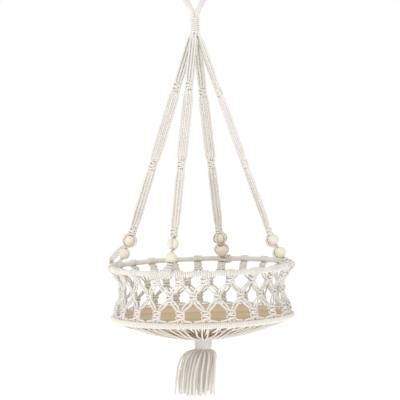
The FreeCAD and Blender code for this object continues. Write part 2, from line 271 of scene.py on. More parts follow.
def turned_wood():
    """Pale close-grained wood, sanded and unpolished, with grain along the bead's bore."""
    finish = Finish("bead_wood", Specular_IOR_Level=0.35, Coat_Weight=0.06)
    grain_place = finish.attribute("grain", out="Vector")
    streaks = finish.noise(grain_place, (0.7, 0.7, 0.07), detail=4, roughness=0.6)
    pores = finish.noise(grain_place, (5, 5, 0.4), detail=2)
    colour = finish.mix(streaks, (0.88, 0.82, 0.69), (0.80, 0.72, 0.55))
    colour = finish.brighten(colour, 0.95 + pores * 0.1)
    return finish.paint(colour, pores + streaks * 0.5, 0.00012, 0.5 + pores * 0.2)


def pine():
    """Glued pine strips: each strip has its own shade and its own growth lines along X."""
    finish = Finish("board_pine", Specular_IOR_Level=0.3)
    grain_place = finish.attribute("grain", out="Vector")
    waves = finish.noise(grain_place, (0.006, 0.05, 0.05), detail=3)
    lines = finish.node(
        "TexWave",
        {"wave_type": "BANDS", "bands_direction": "Y"},
        {
            "Vector": finish.node("Mapping", sockets={"Vector": grain_place, "Scale": (0.002, 0.05, 0.05)}),
            "Scale": 1.0,
            "Distortion": 9.0,
            "Detail": 2.0,
            "Detail Scale": 0.6,
        },
        out="Fac",
    )
    pores = finish.noise(grain_place, (0.15, 3, 3), detail=2)
    colour = finish.mix(lines + waves * 0.7 - 0.35, (0.84, 0.70, 0.47), (0.60, 0.41, 0.20))
    brightness = 0.9 + pores * 0.12 + finish.attribute("tone") * 0.08
    return finish.paint(finish.brighten(colour, brightness), pores + lines * 0.4, 0.0002, 0.55 + pores * 0.2)


def drawn_steel():
    """Drawn wire, a little dull, with fine scratches."""
    finish = Finish("hoop_steel", Metallic=1.0)
    place = finish.node("TexCoord", out="Object")
    scratches = finish.noise(place, (900, 900, 90), detail=3)
    colour = finish.mix(scratches, (0.45, 0.45, 0.46), (0.3, 0.3, 0.31))
    return finish.paint(colour, scratches, 0.00003, 0.3 + scratches * 0.25)


# ---------------------------------------------------------------- cords


def line_through(points, step=STEP, smooth=8):
    """The smooth line of a cord whose route turns at these points, as places a step apart."""
    curve = bpy.data.curves.new("route", "CURVE")
    curve.dimensions = "3D"
    curve.resolution_u = smooth
    spline = curve.splines.new("NURBS")
    spline.points.add(len(points) - 1)
    for place, point in zip(spline.points, points):
        place.co = (*point, 1)
    spline.order_u = 3
    spline.use_endpoint_u = True
    thing = bpy.data.objects.new("route", curve)
    mesh = bpy.data.meshes.new_from_object(thing)
    line = np.zeros(len(mesh.vertices) * 3)
    mesh.vertices.foreach_get("co", line)
    line = line.reshape(-1, 3)
    bpy.data.objects.remove(thing)
    bpy.data.curves.remove(curve)
    bpy.data.meshes.remove(mesh)
    reached = np.append(0, np.cumsum(np.linalg.norm(np.diff(line, axis=0), axis=1)))
    marks = np.linspace(0, reached[-1], max(2, round(reached[-1] / step)) + 1)
    return np.column_stack([np.interp(marks, reached, line[:, axis]) for axis in range(3)])


def frames_along(line):
    """Ahead, side and up directions along a line, turning no more than the line does."""
    ahead = np.gradient(line, axis=0)
    ahead /= np.linalg.norm(ahead, axis=1)[:, None]
    side = unit(np.cross(ahead[0], (0, 0, 1) if abs(ahead[0][2]) < 0.9 else (1, 0, 0)))
    sides = []
    for way in ahead:
        side = unit(side - way * (side @ way))
        sides.append(side)
    sides = np.array(sides)
    return ahead, sides, np.cross(ahead, sides)


STRANDS = 3
STRAND_SHIFT = 0.24
CORNERS_PER_STRAND = 4


class Rope:
    """One cord swept along its line: three strands laid together, or plain round if it has no lay.

    A closely wound plain cord is given the direction of the next turn; painted shade darkens that side.
    """

    def __init__(self, line, thick=CORD, lay=LAY, sides=STRANDS * CORNERS_PER_STRAND, beside=None):
        turns = np.arange(sides) * 2 * math.pi / sides
        if lay:
            share = 2 * math.pi / STRANDS
            from_crown = (turns + share / 2) % share - share / 2
            strand = 1 - STRAND_SHIFT
            reach = STRAND_SHIFT * np.cos(from_crown)
            reach += np.sqrt(strand**2 - (STRAND_SHIFT * np.sin(from_crown)) ** 2)
        else:
            reach = np.ones(sides)
        lengths = np.append(0, np.cumsum(np.linalg.norm(np.diff(line, axis=0), axis=1)))
        twist = lengths[:, None] * (2 * math.pi / lay if lay else 0) + turns
        ahead, side, up = frames_along(line)
        radius = thick / 2 * reach
        out = np.cos(twist)[..., None] * side[:, None] + np.sin(twist)[..., None] * up[:, None]
        self.line = line
        self.rings = line[:, None] + out * radius[:, None]
        # How much painted shade each corner gets: in the grooves between strands, or on the side facing the
        # next turn.
        if lay:
            depth = (1 - reach) / (1 - reach.min())
        else:
            depth = np.einsum("rsk,rk->rs", out, np.broadcast_to(beside, line.shape)) ** 2
        self.groove = np.broadcast_to(depth, twist.shape)
        offset = chance.uniform(0, 500)
        straight = (lengths[:, None] + offset, np.cos(turns) * radius, np.sin(turns) * radius)
        self.ply = np.stack([np.broadcast_to(part, twist.shape) for part in straight], axis=-1)
        self.tone = chance.uniform(-1, 1)

    def pieces(self, measure, marks):
        """Shares the rings out where a measure along the cord first passes each mark."""
        cuts = [int(np.argmax(measure > mark)) for mark in marks]
        bounds = [0, *cuts, len(self.rings) - 1]
        return [slice(first, last + 1) for first, last in zip(bounds, bounds[1:])]


class Skein:
    """Cords that are gathered into one mesh."""

    def __init__(self):
        self.corners = []
        self.faces = []
        self.caps = []
        self.values = {"ply": [], "groove": [], "tone": []}
        self.count = 0

    def add(self, rope, share=slice(None)):
        rings = rope.rings[share]
        length, sides = rings.shape[:2]
        index = self.count + np.arange(length * sides).reshape(length, sides)
        beside = np.roll(index, -1, axis=1)
        walls = np.stack([index[:-1], beside[:-1], beside[1:], index[1:]], axis=-1).reshape(-1, 4)
        self.faces += walls.tolist() + [index[0, ::-1].tolist(), index[-1].tolist()]
        self.caps += [False] * len(walls) + [True, True]
        self.corners.append(rings.reshape(-1, 3))
        self.values["ply"].append(rope.ply[share].reshape(-1, 3))
        self.values["groove"].append(rope.groove[share].ravel())
        self.values["tone"].append(np.full(length * sides, rope.tone))
        self.count += length * sides

    def piece(self, name, finish, slot, *nodes):
        """Makes the mesh in metres, in place of CAD nodes."""
        mesh = bpy.data.meshes.new(name)
        mesh.from_pydata((np.concatenate(self.corners) * MM).tolist(), [], self.faces)
        mesh.polygons.foreach_set("use_smooth", np.logical_not(self.caps))
        for key, kind, field in (
            ("ply", "FLOAT_VECTOR", "vector"),
            ("groove", "FLOAT", "value"),
            ("tone", "FLOAT", "value"),
        ):
            attribute = mesh.attributes.new(key, kind, "POINT")
            attribute.data.foreach_set(field, np.concatenate(self.values[key]).astype(np.float32).ravel())
        mesh.materials.append(finish)
        thing = bpy.data.objects.new(name, mesh)
        bpy.context.scene.collection.objects.link(thing)
        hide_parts(*nodes)
        return thing


# ---------------------------------------------------------------- coils

COIL_POINTS = 12
COIL_REACH = 1 / math.cos(math.pi / COIL_POINTS)


def wound(profile, pitch, first_turn=0):
    """Points of a coil about the Z axis whose turns follow a profile of (radius, height)."""
    profile = np.array(profile, float)
    reached = np.append(0, np.cumsum(np.linalg.norm(np.diff(profile, axis=0), axis=1)))
    count = round(reached[-1] / pitch * COIL_POINTS)
    points = []
    for number in range(count + 1):
        along = reached[-1] * number / count
        radius = np.interp(along, reached, profile[:, 0]) * COIL_REACH
        height = np.interp(along, reached, profile[:, 1])
        points.append(around(first_turn + 360 * number / COIL_POINTS, radius, height))
    return points


def by_hoop(azimuth, reach, turn, height):
    """A point beside a hoop: its reach from the middle of the rod, and its turn from outside, upwards."""
    angle = math.radians(turn)
    return around(azimuth, HOOP_RADIUS + reach * math.cos(angle), height + reach * math.sin(angle))


def wound_round_hoop(height, reach, first, last, turns, first_turn=0):
    """Points of a coil round the hoop's rod from one azimuth to another."""
    count = turns * COIL_POINTS
    return [
        by_hoop(
            first + (last - first) * number / count,
            reach * COIL_REACH,
            first_turn + 360 * number / COIL_POINTS,
            height,
        )
        for number in range(count + 1)
    ]


# ---------------------------------------------------------------- square knots

# One working cord of a square knot as (across, outward, along): across and outward in millimetres,
# along in shares of the knot's length above its middle. The way back mirrors the way there.
FRONT_HALF = [(-5.6, 1.2, 0.46), (-3, 3.6, 0.33), (2.6, 3.9, 0.24), (6.2, 1.8, 0.12), (6.8, 0.2, 0)]
BACK_HALF = [
    (6.4, 2.4, 0.40), (7, 0.6, 0.30), (4.2, -3.2, 0.27), (-3, -3.8, 0.25), (-6.4, -1.4, 0.16), (-7.6, 1.9, 0)
]
FILLER_ACROSS = 2.1


def knotted(half, middles, long, wide=1, deep=1):
    """Points of a working cord through square knots, as (across, outward, downward)."""
    whole = half + [(across, out, -along) for across, out, along in reversed(half[:-1])]
    return [
        (across * wide, out * deep, middle - along * long)
        for middle in middles
        for across, out, along in whole
    ]


# ---------------------------------------------------------------- tassel

TASSEL_STRANDS = 40
TASSEL_STRAND = 4.8
# How far the cut ends are to the left of the wrapping, and how far a strand strays.
TASSEL_LEAN = 19
TASSEL_WANDER = 6
# An outermost strand: radius, height from the wrapping's lower edge, and share of the lean.
# It goes on to its own cut end, at TASSEL_END_RADIUS.
TASSEL_SHAPE = (
    (12.0, 3.0, 0), (15.5, -1.0, 0.08), (37.0, -5.0, 0.25), (43.0, -30.0, 0.6), (45.0, -60.0, 0.85)
)
TASSEL_END_RADIUS = 42.0
# How much shorter a strand can be by chance, and the outermost strands than the middle ones.
RAGGED, ROUNDED = 9, 6


def kink():
    """How far one point of a strand is out of line."""
    return chance.uniform(-2.6, 2.6)


def add_tassel(finish):
    """Cut cords that hang out of the lower wrapping and lean to the left."""
    low, high = corners("tassel")
    wrap_bottom = corners("bottom_wrap")[0][2]
    golden = math.pi * (3 - math.sqrt(5))
    for number in range(TASSEL_STRANDS):
        spread = math.sqrt((number + 0.5) / TASSEL_STRANDS)
        turn = number * golden
        way = np.array((math.cos(turn), math.sin(turn), 0))
        wander = np.array([chance.uniform(-1, 1) for _ in range(3)])
        end = low[2] + 2 + RAGGED * chance.random() ** 2 + ROUNDED * spread**2
        profile = [(radius * spread, drop, shift) for radius, drop, shift in TASSEL_SHAPE]
        profile.append((TASSEL_END_RADIUS * spread, end - wrap_bottom, 1.0))
        points = [
            way * radius
            + np.array((-TASSEL_LEAN * shift, 0, wrap_bottom + drop))
            + wander * (TASSEL_WANDER * shift, TASSEL_WANDER * shift, 0)
            + np.array((kink() * shift, kink() * shift, 0))
            for radius, drop, shift in profile
        ]
        line = line_through(points)
        skein = Skein()
        skein.add(Rope(line, TASSEL_STRAND))
        name = f"tassel_strand_{number + 1:02d}"
        strand = skein.piece(name, finish, "cotton_cord", "tassel")
        length = float(np.linalg.norm(np.diff(line, axis=0), axis=1).sum())
        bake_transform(strand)


# ---------------------------------------------------------------- net wall

NET_CORD = 4.7
COLUMNS = 22
COLUMN_STEP = 360 / COLUMNS
MIDDLE_AZIMUTH = -6.0
# Middles of the full square knots of each row, as drops, and how long and how wide a knot is.
TOP_KNOTS = (11.6, 19.4)
MIDDLE_KNOTS = (50.0,)
BOTTOM_KNOTS = (81.3, 91.3)
TOP_LONG, MIDDLE_LONG, BOTTOM_LONG = 7.8, 10.5, 10.0
TOP_WIDE, MIDDLE_WIDE, BOTTOM_WIDE = 1.15, 0.95, 1.2
KNOT_DEEP = 1.15
# Drops at which a cord passes from one row's piece to the next.
NET_CUTS = (24.0, 43.0, 57.0, 75.5)
# How the wall is waisted: radius at a drop.
WALL_SHAPE = (
    (0, 194), (6, 189), (14, 186), (21, 183), (35, 177), (50, 175.5), (62, 177), (75, 183.5), (88, 187),
    (97, 189.5), (108, 194),
)
OVER_HOOP = HOOP_THICK / 2 + CORD / 2 - 0.9
# Turns round the rod at which a cord comes over the upper hoop, and goes inside the lower one.
UPPER_TURNS = (200, 140, 80, 20, -35)
LOWER_TURNS = (115, 155, 195, 235)
HALVES = {-1: FRONT_HALF, 1: BACK_HALF}
# How far beside its column a slanting cord leaves, how far it bows, and how far beside the middle
# knot it arrives, for a cord that works in the column's knots and for one that doesn't.
SLANTS = {True: (9.5, 19.6, 2.3), False: (3.6, 8.2, 6.8)}
SLACK = 1.2
OFF_WALL = 0.6


def wall(azimuth, across, outward, drop):
    """A point on the net wall, beside and outside a column's middle."""
    drops, radii = zip(*WALL_SHAPE)
    radius = np.interp(drop, drops, radii) + outward
    return around(azimuth + math.degrees(across / radius), radius, HOOP_Z - drop)


def slanting(azimuth, side, works, near, far):
    """Points of a cord between a column's knots and the middle row, bowed away from its partner."""
    beside = azimuth + side * COLUMN_STEP / 2
    bow = chance.uniform(-1, 1)
    slack = chance.uniform(-SLACK, SLACK)
    halfway = (near + far) / 2 + chance.uniform(-SLACK, SLACK)
    leaving, bowed, arriving = SLANTS[works]
    return [
        wall(azimuth, side * leaving, OFF_WALL, near),
        wall(azimuth, side * (bowed + bow), slack, halfway),
        wall(beside, -side * arriving, OFF_WALL, far),
    ]


def net_cord(azimuth, side, works):
    """One of a column's four cords, from over the upper hoop down to the inside of the lower hoop.

    A cord that works in the column's knots is a filler in the knot beside it, and the other way round.
    """
    beside = azimuth + side * COLUMN_STEP / 2
    at_hoop = side * (6.6 if works else 2.2)
    points = [
        by_hoop(azimuth + math.degrees(at_hoop / HOOP_RADIUS), OVER_HOOP, turn, HOOP_Z)
        for turn in UPPER_TURNS
    ]
    filler = side * FILLER_ACROSS
    middle_at = MIDDLE_KNOTS[0]
    if works:
        top = knotted(HALVES[side], TOP_KNOTS, TOP_LONG, TOP_WIDE, KNOT_DEEP)
        middle = [(-filler, 0, middle_at + shift) for shift in (-4.5, 0, 4.5)]
        bottom = knotted(HALVES[side], BOTTOM_KNOTS, BOTTOM_LONG, BOTTOM_WIDE, KNOT_DEEP)
        foot = [(side * 8.5, OFF_WALL, 97.4), (side * 15, 1.0, 99.0), (side * 20.5, 1.0, 99.2)]
        landing = side * (24.6 + chance.uniform(-0.8, 0.4))
    else:
        top = [(filler, 0, drop) for drop in (TOP_KNOTS[0] - 4, 16, TOP_KNOTS[-1] + 3)]
        middle = knotted(HALVES[-side], MIDDLE_KNOTS, MIDDLE_LONG, MIDDLE_WIDE, KNOT_DEEP)
        bottom = [(filler, 0, drop) for drop in (BOTTOM_KNOTS[0] - 3, 86, BOTTOM_KNOTS[-1] + 3)]
        foot = [(side * 4.0, OFF_WALL, 98.6)]
        landing = side * (6.5 + chance.uniform(-1.5, 2.5))
    points += [wall(azimuth, *place) for place in top]
    points += slanting(azimuth, side, works, TOP_KNOTS[-1] + 5.5, middle_at - 7.5)
    points += [wall(beside, *place) for place in middle]
    points += slanting(azimuth, side, works, BOTTOM_KNOTS[0] - 6.5, middle_at + 7.5)[::-1]
    points += [wall(azimuth, *place) for place in bottom + foot]
    points += [
        by_hoop(azimuth + math.degrees(landing / HOOP_RADIUS), OVER_HOOP + 0.6, turn, LOW_Z)
        for turn in LOWER_TURNS
    ]
    return Rope(line_through(points), NET_CORD)


def add_net(finish):
    rows = ("net_top_knots", "net_upper_cords", "net_middle_knots", "net_lower_cords", "net_bottom_knots")
    skeins = [Skein() for row in rows]
    for column in range(COLUMNS):
        azimuth = MIDDLE_AZIMUTH + (column + 0.5) * COLUMN_STEP
        for side in (-1, 1):
            for works in (True, False):
                rope = net_cord(azimuth, side, works)
                shares = rope.pieces(HOOP_Z - rope.line[:, 2], NET_CUTS)
                for skein, share in zip(skeins, shares):
                    skein.add(rope, share)
    slots = ("cotton_knot", "cotton_cord", "cotton_knot", "cotton_cord", "cotton_knot")
    top, upper, middle, lower, bottom = [
        skein.piece(row, finish, slot, row) for skein, row, slot in zip(skeins, rows, slots)
    ]
    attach(top, "harness")
    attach(middle, "net_waist")
    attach(bottom, "base")
    heights = [(0, 0, (HOOP_Z - drop) * MM) for drop in NET_CUTS]
    margin = np.array((0, 0, 2 * MM))
    heights[0] - margin
    heights[1] + margin
    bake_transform(upper)
    heights[2] - margin
    heights[3] + margin
    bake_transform(lower)


# ---------------------------------------------------------------- hangers

COLLAR_BOTTOM = corners("top_wrap")[0][2]
# A hanger's knot is two square knots, one below the other.
HANGER_KNOT = 16
SQUARE_KNOT = HANGER_KNOT / 2
KNOT_WIDE, KNOT_THICK = 0.98, 1.5
BEAD_RADIUS = 12.5
RIBBON = (-9.1, -5.4, -1.8, 1.8, 5.4, 9.1)
# How wide and how staggered the three stretches of ribbon are.
STRETCHES = ((0.8, 1.5), (1.05, 0.5), (0.86, 1.1))
# How a cord goes round a bead: distance along from its middle, and radius.
ROUND_BEAD = ((-14, 5.0), (-9.2, 12.6), (-3, 15.6), (3, 15.6), (9.2, 12.6), (14, 5.0))
# How a core cord goes through a bead.
THROUGH_BEAD = ((-14, 2.0), (0, 2.0), (14, 2.0))
# Where along a stretch its ribbon's points are, as shares of its length.
ALONG_STRETCH = (0.05, 0.28, 0.5, 0.72, 0.95)
# Turns round the rod at which a hanger's cord is led over the hoop: tied to it, or in a band.
TIED_TURNS = (110, 50, -10, -60)
BANDED_TURNS = (40, 0, -50, -90)
LANDING_SPACING = 3.6
# How far apart the cords of a band are, and how far out they are between the beads, at the lower
# bead and below it.
BAND_SPACING = 3.2
BAND_OUT = (5, 17.5, 29)


class Hanger:
    """Where one hanger's knots and beads are, and which way its ribbon and its cords face."""

    def __init__(self, name, twist, round_upper, round_lower, tie, banded=()):
        self.name = name
        self.round_beads = (round_upper, round_lower)
        self.tie = tie
        self.banded = banded
        knots = [sum(corners(f"{name}_{part}_knot")) / 2 for part in ("upper", "middle", "lower")]
        self.start = knots[0] + (knots[0] - knots[2]) * (
            (COLLAR_BOTTOM - knots[0][2]) / (knots[0][2] - knots[2][2])
        )
        self.along = unit(knots[2] - self.start)
        self.knots = [float((knot - self.start) @ self.along) for knot in knots]
        self.azimuth = math.degrees(math.atan2(knots[2][0], -knots[2][1]))
        across = unit(np.array((1, 0, 0)) - self.along * self.along[0])
        turn = Matrix.Rotation(math.radians(twist), 3, Vector(self.along))
        self.across = np.array(turn @ Vector(across))
        self.outward = np.cross(self.across, self.along)
        if self.outward[1] > 0:
            self.outward = -self.outward
        self.beads = [sum(corners(f"{name}_{part}_bead")) / 2 for part in ("upper", "lower")]

    def place(self, across, outward, along):
        return self.start + self.along * along + self.across * across + self.outward * outward

    def by_bead(self, number, turn, distance, radius):
        """A point beside a bead. Its turn is counted from the right, towards the front."""
        centre = self.beads[number]
        axis = unit(self.beads[1] - self.beads[0])
        right = unit(np.array((1, 0, 0)) - axis * axis[0])
        front = np.cross(right, axis)
        if front[1] > 0:
            front = -front
        angle = math.radians(turn)
        return centre + axis * distance + (right * math.cos(angle) + front * math.sin(angle)) * radius


def hanger_cord(hanger, number):
    """One of a hanger's six cords: 0 and 5 work the knots, 2 and 3 go through the beads."""
    beside = RIBBON[number]
    working = number in (0, 5)
    packed = (1.9 if number in (3, 4) else -1.9, 1.9 if number in (1, 3) else -1.9)
    points = [hanger.place(packed[0] * 1.6 + beside * 0.2, packed[1], -4)]
    points.append(hanger.place(packed[0] * 1.2 + beside * 0.2, packed[1] * 0.8, 6))
    before = 0
    for knot, (wide, stagger) in zip(hanger.knots, STRETCHES):
        room = knot - before - HANGER_KNOT
        for share in ALONG_STRETCH:
            drift = chance.uniform(-0.35, 0.35)
            bulge = chance.uniform(-0.5, 0.5) + stagger * (-1) ** number
            points.append(
                hanger.place(beside * wide + drift, bulge, before + HANGER_KNOT / 2 + room * share)
            )
        middles = (knot - SQUARE_KNOT / 2, knot + SQUARE_KNOT / 2)
        if working:
            half = FRONT_HALF if number == 0 else BACK_HALF
            crossings = knotted(half, middles, SQUARE_KNOT, KNOT_WIDE, KNOT_THICK)
            points += [hanger.place(*place) for place in crossings]
        else:
            points += [
                hanger.place(packed[0], packed[1] * 0.9, knot + shift) for shift in (-7.5, 0, 7.5)
            ]
        before = knot
    for bead in (0, 1):
        if bead == 1 and number in hanger.banded:
            points += banded_past(hanger, hanger.banded.index(number) - 1)
        elif number in (2, 3):
            turn = 0 if number == 3 else 180
            points += [hanger.by_bead(bead, turn, *place) for place in THROUGH_BEAD]
        else:
            turn = hanger.round_beads[bead][(0, 1, 4, 5).index(number)]
            points += [hanger.by_bead(bead, turn, *place) for place in ROUND_BEAD]
    beside_tie = (number - 2.5) * LANDING_SPACING
    landing = hanger.azimuth + math.degrees(beside_tie / HOOP_RADIUS)
    turns = BANDED_TURNS if number in hanger.banded else TIED_TURNS
    points += [by_hoop(landing, OVER_HOOP, turn, HOOP_Z) for turn in turns]
    return Rope(line_through(points))


def banded_past(hanger, rank):
    """Points of a cord that goes straight from between the beads, outside the lower bead, to the hoop."""
    between = (hanger.beads[0] + hanger.beads[1]) / 2
    outward = unit(hanger.beads[1] * (1, 1, 0))
    spread = (outward + (0, 0, 1)) * rank * BAND_SPACING + (0, -4 - rank, 0)
    near, beside, below = BAND_OUT
    return [
        between + outward * near + spread * 0.8 + (0, 0, 4),
        hanger.beads[1] + outward * beside + spread + (0, 0, 1),
        hanger.beads[1] + outward * below + spread + (0, 0, -12),
    ]


def add_hanger(hanger, cord_finish, knot_finish):
    parts = ("upper", "middle", "lower")
    names = [f"{hanger.name}_{part}_{kind}" for part in parts for kind in ("cords", "knot")]
    names.append(f"{hanger.name}_bead_cords")
    skeins = [Skein() for name in names]
    cuts = [knot + side * HANGER_KNOT / 2 for knot in hanger.knots for side in (-1, 1)]
    for number in range(len(RIBBON)):
        rope = hanger_cord(hanger, number)
        along = (rope.line - hanger.start) @ hanger.along
        for skein, share in zip(skeins, rope.pieces(along, cuts)):
            skein.add(rope, share)
    for name, skein in zip(names, skeins):
        knot = name.endswith("knot")
        slot = "cotton_knot" if knot else "cotton_cord"
        piece = skein.piece(name + "_rope", knot_finish if knot else cord_finish, slot, name)
        if name.endswith("upper_cords"):
            top = hanger.start * MM
            top[2] - 0.04
            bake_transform(piece)
        else:
            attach(piece, "harness")


# Turns round a hanger's end: half their width and depth at the top and at the foot, and their slant.
TIE_TOP = (7.6, 6.4)
TIE_FOOT = (16.0, 8.0)
TIE_SLANT = 2.4


def add_tie(hanger, finish):
    """Turns round the hanger's end, from below its lower bead, and then round the hoop on both sides."""
    skein = Skein()
    turns_on_hanger, turns_on_hoop, spacing = hanger.tie
    axis = unit(hanger.beads[1] - hanger.beads[0])
    if turns_on_hanger:
        start = hanger.beads[1] + axis * (BEAD_RADIUS + 3.5)
        end = by_hoop(hanger.azimuth, OVER_HOOP - 1, -40, HOOP_Z)
        run = end - start
        wide = unit(np.cross(run, around(hanger.azimuth, 1, 0)))
        deep = unit(np.cross(wide, run))
        count = turns_on_hanger * COIL_POINTS
        points = []
        for number in range(count + 1):
            share = number / count
            angle = math.radians(360 * number / COIL_POINTS)
            reach = [top + (foot - top) * share for top, foot in zip(TIE_TOP, TIE_FOOT)]
            slant = TIE_SLANT * math.sin(angle + 0.7)
            aside = wide * math.cos(angle) * reach[0] + deep * math.sin(angle) * reach[1]
            points.append(start + run * share + aside + unit(run) * slant)
        skein.add(Rope(line_through(points, smooth=4)))
    for side in (-1, 1):
        first = hanger.azimuth + side * math.degrees(3.0 / HOOP_RADIUS)
        last = first + side * math.degrees(turns_on_hoop * spacing / HOOP_RADIUS)
        points = wound_round_hoop(HOOP_Z, HOOP_THICK / 2 + CORD * 0.42, first, last, turns_on_hoop, 120)
        skein.add(Rope(line_through(points, smooth=4)))
    name = f"{hanger.name}_hoop_tie"
    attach(skein.piece(name + "_rope", finish, "cotton_cord", name), "harness")


# ---------------------------------------------------------------- hoops, wrappings and loop

HOOP_TURNS = 322
HOOP_CORD = 3.6
FINE_CORD = 2.2


def add_hoop_wrap(name, height, body, finish):
    """A thin cord wound closely round the steel rod, all the way round."""
    points = wound_round_hoop(height, HOOP_THICK / 2 - HOOP_CORD / 2, 0, 360, HOOP_TURNS)
    line = line_through(points, 2.2, smooth=2)
    # The direction along the hoop, towards the next turn: painted shade darkens each turn on that side.
    along_hoop = np.cross((0, 0, 1), line * (1, 1, 0)) / HOOP_RADIUS
    skein = Skein()
    skein.add(Rope(line, HOOP_CORD, None, 8, along_hoop))
    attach(skein.piece(name + "_turns", finish, "cotton_wrapping", name), body)


def add_top_wrap(finish):
    low, high = corners("top_wrap")
    reach = high[0] - CORD / 2
    profile = [
        (reach - 3.5, high[2] - 2.2), (reach, high[2] - 2), (reach - 0.8, (low[2] + high[2]) / 2),
        (reach, low[2] + 2), (reach - 3.5, low[2] + 2.2),
    ]
    skein = Skein()
    skein.add(Rope(line_through(wound(profile, CORD * 0.97), smooth=4)))
    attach(skein.piece("top_wrap_turns", finish, "cotton_wrapping", "top_wrap"), "collar")


def add_bottom_wrap(finish):
    """Thin close turns, round at the lower edge, drawn in at both ends round the cords inside."""
    low, high = corners("bottom_wrap")
    reach = high[0] - FINE_CORD / 2
    top = high[2] - 5
    profile = [
        (reach - 5, top), (reach - 1, top - 0.4), (reach, top - 2), (reach, low[2] + 8),
        (reach - 0.8, low[2] + 4), (reach - 3, low[2] + 1.6), (reach - 6, low[2] + 0.8),
    ]
    line = line_through(wound(profile, FINE_CORD * 0.97), smooth=4)
    skein = Skein()
    # Painted shade darkens each turn on its upper and lower sides, where it meets the next turns.
    skein.add(Rope(line, FINE_CORD, None, 8, (0, 0, 1)))
    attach(skein.piece("bottom_wrap_turns", finish, "cotton_wrapping", "bottom_wrap"), "base")


LOOP_CORD = 3.5
# The rings of cords in the loop's bundle: how far from its middle, and how many cords.
LOOP_RINGS = ((2.0, 3), (4.95, 9))
# How far the right leg is twisted, and where along the loop its twist starts and how long it is.
LEG_TWIST = 230
TWIST_START, TWIST_LONG = 0.55, 0.4
# How far above the gather's lower edge the bundle comes together.
INTO_GATHER = 26
# How the bundle narrows towards the gather: heights, and shares of its width there.
NECK_HEIGHTS, NECK_WIDTHS = (-78, -62, -48), (0.72, 0.86, 1.0)


def add_loop(finish):
    """Twelve cords bent over the hook. The left leg lies straight and the right leg is twisted."""
    inside = COLLAR_BOTTOM + INTO_GATHER
    route = [
        (-3.0, inside - 6), (-3.2, inside + 6), (-6.0, -64), (-13, -50), (-22, -34), (-27, -21), (-24, -4.5),
        (-12, 8.0), (0, 8.6), (12, 8.0), (24, -4.5), (27, -21), (22, -34), (13, -50), (6.0, -64),
        (3.2, inside + 6), (3.0, inside - 6),
    ]
    line = line_through([(x, 0, z) for x, z in route])
    ahead, side, up = frames_along(line)
    share = np.linspace(0, 1, len(line))
    twist = np.radians(LEG_TWIST) * np.clip((share - TWIST_START) / TWIST_LONG, 0, 1)
    neck = np.interp(line[:, 2], NECK_HEIGHTS, NECK_WIDTHS)
    skein = Skein()
    for radius, count in LOOP_RINGS:
        for number in range(count):
            turn = twist + 2 * math.pi * number / count + radius
            out = np.cos(turn)[:, None] * side + np.sin(turn)[:, None] * up
            skein.add(Rope(line + out * (radius * neck)[:, None], LOOP_CORD))
    loop = skein.piece("hanging_loop_ropes", finish, "cotton_cord", "hanging_loop")
    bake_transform(loop)


# ---------------------------------------------------------------- cradle

# A cradle cord from inside the lower hoop in to the gather: radius, and drop below that hoop.
CRADLE = (
    (187.5, 5.5), (184, 9.6), (165, 15.2), (128, 28.2), (88, 37.0), (48, 42.6), (20, 44.6), (13, 47),
    (12, 54),
)
CRADLE_PER_COLUMN = 3
# How far apart the cords start, and how much lower each lies than the next where they meet, which
# they do CRADLE_MEET further in than they start.
CRADLE_SPACING = 3.6
CRADLE_LAYER = 2.1
CRADLE_MEET = 150


def add_cradle(finish):
    """Three cords from each column run in under the board, one below another where they meet."""
    skein = Skein()
    count = COLUMNS * CRADLE_PER_COLUMN
    for number in range(count):
        azimuth = MIDDLE_AZIMUTH + number * 360 / count
        rank = number % CRADLE_PER_COLUMN - 1
        aside = -rank * CRADLE_SPACING / HOOP_RADIUS
        points = []
        for radius, drop in CRADLE:
            inward = np.clip((CRADLE[0][0] - radius) / CRADLE_MEET, 0, 1)
            layer = (rank + 1) * CRADLE_LAYER * inward
            wander = chance.uniform(-0.5, 0.5) * (1 - inward)
            beside = math.degrees(aside) * (1 - inward) + wander
            points.append(around(azimuth + beside, radius - layer * 0.4, LOW_Z - drop - layer))
        skein.add(Rope(line_through(points, 2.4), sides=9))
    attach(skein.piece("cradle_ropes", finish, "cotton_cord", "cradle_cords"), "base")


# ---------------------------------------------------------------- turned and sawn wood


def start_mesh(name):
    """The primitive just added, named, with everything in it selected in edit mode."""
    thing = bpy.context.object
    thing.name = name
    thing.data.name = name
    bpy.ops.object.mode_set(mode="EDIT")
    bpy.ops.mesh.select_all(action="SELECT")
    return thing


def select_faces(thing, chosen):
    """Selects the faces whose middle passes a test, and nothing else."""
    bpy.ops.mesh.select_all(action="DESELECT")
    bpy.ops.mesh.select_mode(type="FACE")
    bpy.ops.object.mode_set(mode="OBJECT")
    for face in thing.data.polygons:
        face.select = chosen(face.center)
    bpy.ops.object.mode_set(mode="EDIT")


def select_edges(thing, chosen):
    """Selects the edges whose ends pass a test, and nothing else."""
    bpy.ops.mesh.select_all(action="DESELECT")
    bpy.ops.mesh.select_mode(type="EDGE")
    bpy.ops.object.mode_set(mode="OBJECT")
    for edge in thing.data.edges:
        edge.select = all(chosen(thing.data.vertices[index].co) for index in edge.vertices)
    bpy.ops.object.mode_set(mode="EDIT")


def set_attribute(thing, name, kind, field, values):
    attribute = thing.data.attributes.new(name, kind, "POINT")
    attribute.data.foreach_set(field, np.asarray(values, np.float32).ravel())


BEAD_BORE = 5.2
BEAD_RIM = 0.9
BEAD_RINGS = 22


